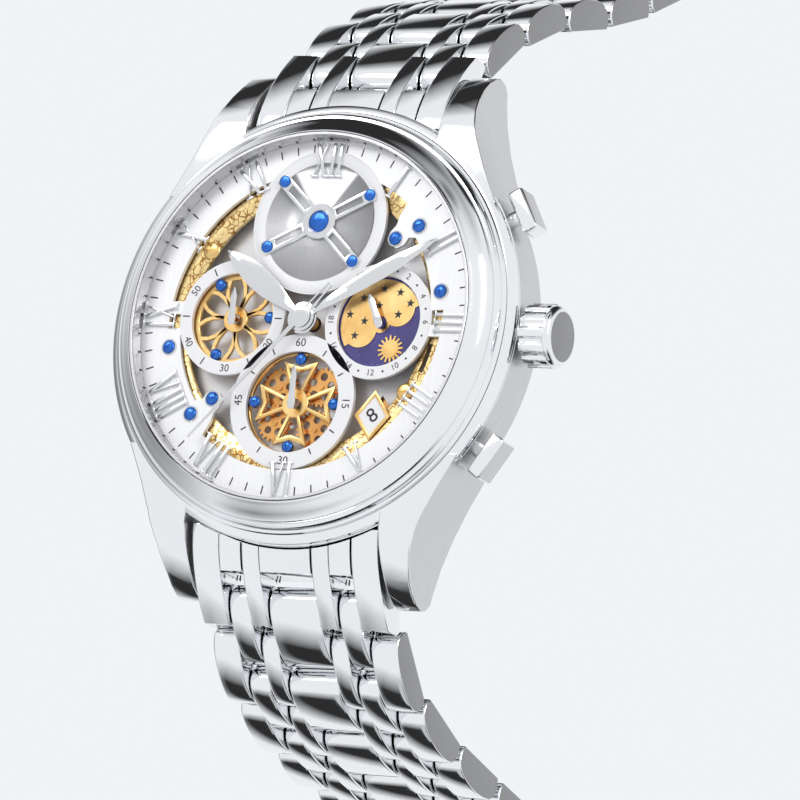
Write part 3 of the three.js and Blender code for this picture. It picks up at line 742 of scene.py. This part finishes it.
def make_day_night():
    x, y = SMALL_DIALS["right"][:2]
    disc = flat_disc("day_night_disc_finish", 4.64, -0.8, -0.56, (x, y), 96)
    settle(disc, "day_night", "night_blue", ["day_night_disc"])
    turn = turn_about(29.5, (x, y))
    z0, z1 = -0.55, -0.47
    upper = [(x - 4.1, y - 0.35)] + [polar(4.12, 174 - i * 14, (x, y)) for i in range(13)] + [(x + 4.1, y - 0.35)]
    half = plate("half", upper[::-1], z0, z1)
    for s in (-1, 1):
        weld(half, flat_disc("hump", 1.68, z0, z1, (x + s * 2.1, y + 0.35), 40))
    weld(half, flat_disc("middle", 0.9, z0, z1, (x, y - 0.1), 32))
    cut(half, flat_disc("axle", 0.6, -2, 1, (x, y), 32))
    soften(half, 0.03, 2, 50)
    half.data.transform(turn)
    settle(half, "day_night", "gilt")
    rays = [toothed("sun", 16, 1.3, 0.85, z0, z1, (x, y - 2.85)), flat_disc("face", 0.8, z0, z1 + 0.05,
            (x, y - 2.85), 32)]
    sun = group("sun", rays)
    sun.data.transform(turn)
    settle(sun, "day_night", "sun_gold")
    stars = [star(0.44, z1 + 0.001, z1 + 0.02, at) for at in
             ((7.6, 3.2), (9.3, 2.9), (10.5, 1.9), (9.4, 0.8), (7.3, 1.6), (5.6, 2.3), (4.4, 0.7), (6.0, 0.1),
              (5.2, -1.3))]
    settle(group("stars", stars), "day_night", "black_print")


def make_balance():
    wheel = ring("balance_rim", 3.9, 4.75, -1.74, -1.32, BALANCE, 120, 0.06)
    spokes = [strip("spoke", polar(0.3, a, BALANCE), polar(4.1, a, BALANCE), 0.5, -1.7, -1.4, 0.05)
              for a in (20, 140, 260)]
    weights = [turned("weight", [(0, -1.74), (0.3, -1.74), (0.3, -1.3), (0, -1.3)], polar(4.32, 60 * k + 5, BALANCE), 20)
               for k in range(6)]
    hub = ring("balance_hub", 0.15, 0.7, -1.74, -1.2, BALANCE, 40)
    settle(group("balance_wheel_finish", [wheel, hub, *spokes, *weights]), "balance_wheel", "gilt",
           ["balance_wheel"])
    coils = []
    for k in range(9):
        r = 0.75 + 0.26 * k
        coils.append(turned("coil", [(r, -1.04), (r + 0.07, -1.04), (r + 0.07, -0.86), (r, -0.86)], BALANCE, 64))
    settle(group("hairspring_finish", coils), "case", "blued_steel", ["hairspring"])
    teeth = toothed("balance_window_gear", 60, 5.5, 5.15, -1.55, -1.4, BALANCE)
    cut(teeth, flat_disc("clear", 4.85, -3, 1, BALANCE))
    cover = ring("balance_window_ring", 2.75, 3.55, -0.8, -0.62, BALANCE, 96)
    arms = [strip("cover_arm", polar(3.3, a, BALANCE), polar(5.6, a, BALANCE), 0.5, -0.8, -0.66) for a in ARM_ANGLES]
    settle(teeth, "case", "gilt_deep")
    settle(group("balance_window_cover", [cover, *arms]), "case", "gilt")


def leaf(name, length, belly, belly_at, tail, thick, z, boss=0.9):
    """A leaf-shaped hand along +y with a ridge down its middle, and its round boss."""
    rows = [(-tail, 0.16), (-tail * 0.8, 0.34), (0.0, 0.38)]
    rows += [(0.9 + (belly_at - 0.9) * t, 0.3 + (belly - 0.3) * math.sin(t * math.pi / 2) ** 1.4)
             for t in (0.1, 0.25, 0.4, 0.55, 0.7, 0.85, 1)]
    rows += [(belly_at + (length - belly_at) * t, belly * math.cos(t * math.pi / 2) ** 0.8 + 0.04)
             for t in (0.15, 0.3, 0.45, 0.6, 0.75, 0.9, 1)]
    deselect()
    bpy.ops.mesh.primitive_grid_add(x_subdivisions=2, y_subdivisions=len(rows) - 1, size=2)
    hand = bpy.context.object
    hand.name = name
    for vertex in hand.data.vertices:
        y, half = rows[round((vertex.co.y + 1) / 2 * (len(rows) - 1))]
        side = round(vertex.co.x)
        vertex.co = (side * half, y, z + thick * (0.4 if side else 1))
    bpy.ops.object.mode_set(mode="EDIT")
    bpy.ops.mesh.select_all(action="SELECT")
    bpy.ops.mesh.extrude_region_move(TRANSFORM_OT_translate={"value": (0, 0, -2)})
    bpy.ops.object.mode_set(mode="OBJECT")
    for vertex in hand.data.vertices:
        if vertex.co.z < z - 1:
            vertex.co.z = z
    bpy.ops.object.mode_set(mode="EDIT")
    tidy_normals()
    disc = turned("boss", [(0, z), (boss, z), (boss, z + thick * 0.7), (boss * 0.86, z + thick), (0, z + thick)],
                  steps=48)
    return hand, disc


def make_hands():
    hour, disc = leaf("hour_hand_finish", 10.9, 1.12, 6.0, 0.9, 0.12, 0.455, 1.5)
    hour = group("hour_hand_finish", [hour, disc])
    hour.data.transform(turn_about(55))
    settle(hour, "hour_hand", "polished_steel", ["hour_hand"], 12)
    minute, disc = leaf("minute_hand_finish", 15.1, 0.78, 7.8, 0.9, 0.12, 0.685, 1.3)
    minute = group("minute_hand_finish", [minute, disc])
    minute.data.transform(turn_about(-59))
    settle(minute, "minute_hand", "polished_steel", ["minute_hand"], 12)
    needle = plate("chrono_needle", [(-0.24, -0.6), (0.24, -0.6), (0.24, 0.8), (0.1, 15.3), (-0.1, 15.3), (-0.24, 0.8)],
                   0.905, 0.99, 0.03)
    tails = [strip("tail", (s * 0.3, -0.4), (s * 0.2, -4.15), 0.16, 0.905, 0.99) for s in (-1, 1)]
    hub = turned("chrono_hub", [(0, 0.905), (1.0, 0.905), (1.0, 0.97), (0.85, 0.995), (0.3, 0.998), (0, 0.998)],
                 steps=48)
    chrono = group("chrono_seconds_hand_finish", [needle, hub, *tails])
    chrono.data.transform(turn_about(-220))
    settle(chrono, "chrono_seconds_hand", "polished_steel", ["chrono_seconds_hand"], 20)
    small = (("day_night_hand", "right", 2.85, 27, "day_night"), ("small_seconds_hand", "left", 2.85, 3,
             "fourth_wheel"), ("chrono_minute_hand", "lower", 3.55, 4, "chrono_minute_hand"))
    for name, key, length, turn, body in small:
        hand, disc = leaf(name + "_finish", length, 0.3, length * 0.55, 0.7, 0.1, 0.125, 0.42)
        hand = group(name + "_finish", [hand, disc])
        hand.data.transform(Matrix.Translation((*SMALL_DIALS[key][:2], 0)) @ Matrix.Rotation(RAD(turn), 4, "Z"))
        settle(hand, body, "polished_steel", [name], 12)


# ---- Crown and pushers ----
def make_crown():
    points = []
    for i in range(96):
        points.append((lambda r, a: (r * math.cos(a), STEM_Z + r * math.sin(a)))(
            2.98 if i % 8 < 5 else 2.72, 2 * math.pi * i / 96))
    grip = bar("crown_grip", points, 21.62, 24.15, 0.0)
    soften(grip, 0.1, 2, 20)
    cap = turned("crown_cap", [(0, 23.9), (2.7, 23.9), (2.84, 24.1), (2.84, 24.3), (2.7, 24.55), (2.45, 24.72),
                 (2.3, 24.76), (2.2, 24.8), (0, 24.84)], steps=96)
    collar = turned("crown_collar", [(1.3, 21.52), (2.4, 21.52), (2.6, 21.7), (2.6, 21.9), (1.3, 21.9)], steps=96)
    for piece in (cap, collar):
        piece.data.transform(Matrix.Translation((0, 0, STEM_Z)) @ Matrix.Rotation(RAD(90), 4, "Y"))
    crown = group("crown_finish", [grip, cap, collar])
    crown.data.materials.clear()
    crown.data.materials.append(MATERIALS["polished_steel"])
    # the crown's flat end face gets brushed steel darkened with painted shade
    second_finish(crown, "brushed_side", lambda f: f.center.x > 24.78 and f.normal.x > 0.9)
    settle(crown, "crown", None, ["crown"])


def make_pushers():
    for name, angle in PUSHER_ANGLES.items():
        profile = [(-2.15, -1.35), (2.15, -1.35), (2.15, 1.35), (-2.15, 1.35)]
        cap = bar("pusher_cap", [(y, z + STEM_Z) for y, z in profile], 21.75, 23.28, 0.0)
        soften(cap, 0.32, 4)
        neck = turned("pusher_neck", [(0, 18.7), (0.78, 18.7), (0.78, 21.8), (0, 21.8)], steps=40)
        neck.data.transform(Matrix.Translation((0, 0, STEM_Z)) @ Matrix.Rotation(RAD(90), 4, "Y"))
        pusher = group("pusher_" + name + "_finish", [cap, neck])
        pusher.data.materials.clear()
        pusher.data.materials.append(MATERIALS["polished_steel"])
        second_finish(pusher, "brushed_steel", lambda f: f.center.x > 23.2 and f.normal.x > 0.9)
        pusher.data.transform(turn_about(angle))
        settle(pusher, "pusher_" + name, None, ["pusher_" + name])


# ---- Bracelet ----
def column_span(index):
    start = -sum(COLUMNS) / 2 + sum(COLUMNS[:index])
    return start + 0.06, start + COLUMNS[index] - 0.06


def link_outline(a, b):
    """The side view of a pillow link from a to b along the row."""
    mid, half = (a + b) / 2, (b - a) / 2
    crown = [(mid + half * math.cos(math.pi * i / 18), -0.7 + 2.3 * math.sin(math.pi * i / 18) ** 0.62)
             for i in range(19)]
    return [(a + 0.3, -1.48), (b - 0.3, -1.48)] + crown


def make_link(index, a, b):
    x0, x1 = column_span(index)
    link = bar("link", link_outline(a, b), x0, x1, 0.0)
    return soften(link, 0.2, 3, 50)


def row_shape():
    q = PITCH / 4
    links = [make_link(i, -q + 0.3, 3 * q - 0.3) for i in (1, 3, 5)]
    links += [make_link(i, q + 0.3, 5 * q - 0.3) for i in (0, 2, 4, 6)]
    web = bar("web", [(PITCH / 2 - 0.9, -0.8), (PITCH / 2 + 0.9, -0.8), (PITCH / 2 + 0.9, 0.6),
                      (PITCH / 2 - 0.9, 0.6)], -9.4, 9.4)
    row = group("row", links + [web])
    row.data.materials.clear()
    row.data.materials.append(MATERIALS["polished_steel"])
    # the outer sides of the edge columns get brushed steel darkened with painted shade
    second_finish(row, "brushed_side", lambda f: abs(f.center.x) > 9.6 and abs(f.normal.x) > 0.9)
    return row


def at_pin(y, z, deg, end):
    """The move that lays (u, v) on (y, z) at a pin, turned down by deg, on one half."""
    lay = Matrix.Translation((0, y, z)) @ Matrix.Rotation(RAD(-deg), 4, "X")
    return Matrix.Diagonal((1, end, 1, 1)) @ lay


def pin_places(half):
    y, z = HINGE
    places = []
    for deg in HALVES[half]:
        places.append((y, z, deg))
        y, z = y + PITCH * math.cos(RAD(deg)), z - PITCH * math.sin(RAD(deg))
    return places, (y, z)


def make_end_links():
    def body(reach, drop):
        top = [(19 + (reach - 19) * i / 8, -2.25 - ((reach - 19) * i / 56) ** 2 * 2.6 - (reach - 19) * i / 8 * 0.12)
               for i in range(8, -1, -1)]
        return [(19, -7.38), (HINGE[0] - 2.6, -7.6), (reach - 0.4, drop - 0.6), (reach, drop)] + top
    long_reach = HINGE[0] + PITCH / 4 - 0.35
    for half, end in ((12, 1), (6, -1)):
        links = []
        for i in range(7):
            x0, x1 = column_span(i)
            outline = body(long_reach, HINGE[1] - 1.1) if i % 2 == 0 else body(HINGE[0] - PITCH / 4 - 0.3, -7.0)
            links.append(soften(bar("end_piece", outline, x0, x1), 0.16, 3, 50))
        links = cut(group("links", links), turned("clear", [(0, -20), (21.13, -20), (21.13, 5), (0, 5)], steps=160))
        links.data.transform(Matrix.Diagonal((1, end, 1, 1)))
        if end < 0:
            links.data.flip_normals()
        settle(links, "case", "polished_steel", [f"end_link_{half}"])


def make_rows():
    pattern = row_shape()
    for half, end in ((12, 1), (6, -1)):
        for i, (y, z, deg) in enumerate(pin_places(half)[0]):
            name = f"bracelet_{half}_row_{i + 1}"
            settle(copy(pattern, at_pin(y, z, deg, end), name + "_finish"), name, None, [name])
    bpy.data.objects.remove(pattern)


# ---- CAD pieces that keep their own shape ----
KEPT_FINISHES = {
    "base_silver": ("base_plate", "main_plate", "movement_ring"),
    "gilt_deep": ("center_wheel", "third_wheel", "fourth_wheel", "escape_wheel", "barrel", "date_ring"),
    "blued_steel": ("pallet_fork",),
    "brushed_steel": ("train_bridge", "rotor", "winding_stem", "crown_tube", "clasp_cover"),
    "gasket": ("case_back_gasket",),
    "polished_steel": ("clasp_outer_blade", "clasp_inner_blade"),
}


def dress_kept_pieces():
    for finish, names in KEPT_FINISHES.items():
        for name in names:
            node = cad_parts[name]
            node.data.materials.clear()
            node.data.materials.append(MATERIALS[finish])


# ---- Stage ----
def lamp(name, size, power, place, aim):
    bpy.ops.object.light_add(type="AREA", location=place)
    light = bpy.context.object
    light.name = name
    light.data.shape = "RECTANGLE"
    light.data.size, light.data.size_y = size
    light.data.energy = power
    light.rotation_euler = (Vector(aim) - Vector(place)).to_track_quat("-Z", "Y").to_euler()
    return light


def light_room():
    """A pale room with dark zones high and low behind the watch, and one narrow black card overhead."""
    world = bpy.data.worlds.new("studio")
    bpy.context.scene.world = world
    world.use_nodes = True
    tree = world.node_tree

    def made(kind, operation, *values):
        node = tree.nodes.new(kind)
        if operation:
            node.operation = operation
        for index, value in enumerate(values):
            if isinstance(value, bpy.types.NodeSocket):
                tree.links.new(value, node.inputs[index])
            else:
                node.inputs[index].default_value = value
        return node.outputs[0]

    def fade(value, start, end, low=0.0, high=1.0):
        return made("ShaderNodeMapRange", None, value, start, end, low, high)

    where = tree.nodes.new("ShaderNodeTexCoord").outputs["Generated"]
    split = tree.nodes.new("ShaderNodeSeparateXYZ")
    tree.links.new(where, split.inputs[0])
    across, depth, height = split.outputs
    steep = fade(made("ShaderNodeMath", "ABSOLUTE", height), 0.60, 0.80)
    behind = fade(depth, -0.42, -0.02)
    dark = made("ShaderNodeMath", "MULTIPLY", steep, behind)
    room = fade(dark, 0.0, 1.0, 1.0, 0.03)
    room = made("ShaderNodeMath", "MULTIPLY", room, fade(across, -1.0, -0.75, 0.25, 1.0))
    distance = tree.nodes.new("ShaderNodeVectorMath")
    distance.operation = "DISTANCE"
    tree.links.new(where, distance.inputs[0])
    distance.inputs[1].default_value = (0.2, -0.44, 0.87)
    card = fade(distance.outputs["Value"], 0.16, 0.24, 0.03, 1.0)
    room = made("ShaderNodeMath", "MULTIPLY", room, card)
    glow = tree.nodes["Background"]
    glow.inputs["Color"].default_value = (0.97, 0.98, 1.0, 1)
    tree.links.new(room, glow.inputs["Strength"])
    paper = tree.nodes.new("ShaderNodeBackground")
    paper.inputs["Color"].default_value = (0.87, 0.9, 0.92, 1)
    ray = tree.nodes.new("ShaderNodeLightPath")
    blend = made("ShaderNodeMixShader", None, ray.outputs["Is Camera Ray"], glow.outputs[0], paper.outputs[0])
    tree.links.new(blend, tree.nodes["World Output"].inputs["Surface"])


def set_stage(floor_drop):
    deselect()
    bpy.ops.mesh.primitive_plane_add(size=0.8, location=(0, 0, -floor_drop))
    floor = bpy.context.object
    floor.name = "floor"
    paper = Finish("stage_paper", (0.9, 0.91, 0.92), 0.0, 0.9)
    floor.data.materials.append(paper.material)
    light_room()
    bpy.context.scene.view_settings.view_transform = "Standard"
    lamp("key", (0.5, 0.3), 2.2, (-0.35, -0.75, 0.45), (0, 0, 0))
    lamp("rim", (0.12, 0.5), 2.5, (0.7, -0.3, 0.3), (0, 0, 0))
    bpy.ops.object.camera_add(location=(0.36598, -0.64232, -0.1684),
                              rotation=(RAD(102.657), RAD(-8.4863), RAD(27.3821)))
    camera = bpy.context.object
    camera.data.lens = 367.6
    camera.data.sensor_width = 36
    camera.data.clip_start = 0.01
    bpy.context.scene.camera = camera


# ---- Add-on ----
class WatchStage(bpy.types.PropertyGroup):
    floor_drop: bpy.props.FloatProperty(name="Floor depth", description="How far the floor lies below the watch",
                                        default=1.2, min=0.2, unit="LENGTH")


class BuildStep:
    bl_options = {"REGISTER", "UNDO"}


class WATCH_OT_materials(BuildStep, bpy.types.Operator):
    """Makes the watch's finishes and dresses the pieces that keep their own shape"""
    bl_idname = "watch.materials"
    bl_label = "Finishes"

    def execute(self, context):
        make_materials()
        dress_kept_pieces()
        return {"FINISHED"}


class WATCH_OT_case(BuildStep, bpy.types.Operator):
    """Builds the case, bezel, crystal and back"""
    bl_idname = "watch.case"
    bl_label = "Case, bezel and crystals"

    def execute(self, context):
        make_case()
        make_bezel()
        make_back()
        return {"FINISHED"}


class WATCH_OT_dial(BuildStep, bpy.types.Operator):
    """Builds the dial plate with its numerals, print and screws"""
    bl_idname = "watch.dial"
    bl_label = "Dial"

    def execute(self, context):
        make_dial()
        make_numerals()
        make_dial_print()
        make_screws()
        make_date()
        make_day_night()
        return {"FINISHED"}


class WATCH_OT_openwork(BuildStep, bpy.types.Operator):
    """Builds the bridges, engraved ring and wheels seen through the dial"""
    bl_idname = "watch.openwork"
    bl_label = "Openwork and balance"

    def execute(self, context):
        make_balance_bridge()
        make_engraved_ring()
        make_left_bridge()
        make_lower_bridge()
        make_balance()
        return {"FINISHED"}


class WATCH_OT_hands(BuildStep, bpy.types.Operator):
    """Builds the hands"""
    bl_idname = "watch.hands"
    bl_label = "Hands"

    def execute(self, context):
        make_hands()
        return {"FINISHED"}


class WATCH_OT_controls(BuildStep, bpy.types.Operator):
    """Builds the crown and both pushers"""
    bl_idname = "watch.controls"
    bl_label = "Crown and pushers"

    def execute(self, context):
        make_crown()
        make_pushers()
        return {"FINISHED"}


class WATCH_OT_bracelet(BuildStep, bpy.types.Operator):
    """Builds the end links and the bracelet's rows"""
    bl_idname = "watch.bracelet"
    bl_label = "Bracelet"

    def execute(self, context):
        make_end_links()
        make_rows()
        return {"FINISHED"}


class WATCH_OT_stage(BuildStep, bpy.types.Operator):
    """Sets the floor, lights and camera"""
    bl_idname = "watch.stage"
    bl_label = "Stage"

    def execute(self, context):
        set_stage(context.scene.watch_stage.floor_drop)
        return {"FINISHED"}


STEPS = (WATCH_OT_materials, WATCH_OT_case, WATCH_OT_dial, WATCH_OT_openwork, WATCH_OT_hands, WATCH_OT_controls,
         WATCH_OT_bracelet, WATCH_OT_stage)


class WATCH_PT_panel(bpy.types.Panel):
    """Lists the watch's settings and steps"""
    bl_label = "Watch"
    bl_idname = "WATCH_PT_panel"
    bl_space_type = "VIEW_3D"
    bl_region_type = "UI"
    bl_category = "Watch"

    def draw(self, context):
        self.layout.prop(context.scene.watch_stage, "floor_drop")
        for step in STEPS:
            self.layout.operator(step.bl_idname)


CLASSES = (WatchStage, *STEPS, WATCH_PT_panel)


def register():
    for kind in CLASSES:
        bpy.utils.register_class(kind)
    bpy.types.Scene.watch_stage = bpy.props.PointerProperty(type=WatchStage)


def unregister():
    del bpy.types.Scene.watch_stage
    for kind in reversed(CLASSES):
        bpy.utils.unregister_class(kind)


def main():
    register()
    for step in STEPS:
        getattr(bpy.ops.watch, step.bl_idname.split(".")[1])()


if __name__ == "__main__":
    main()
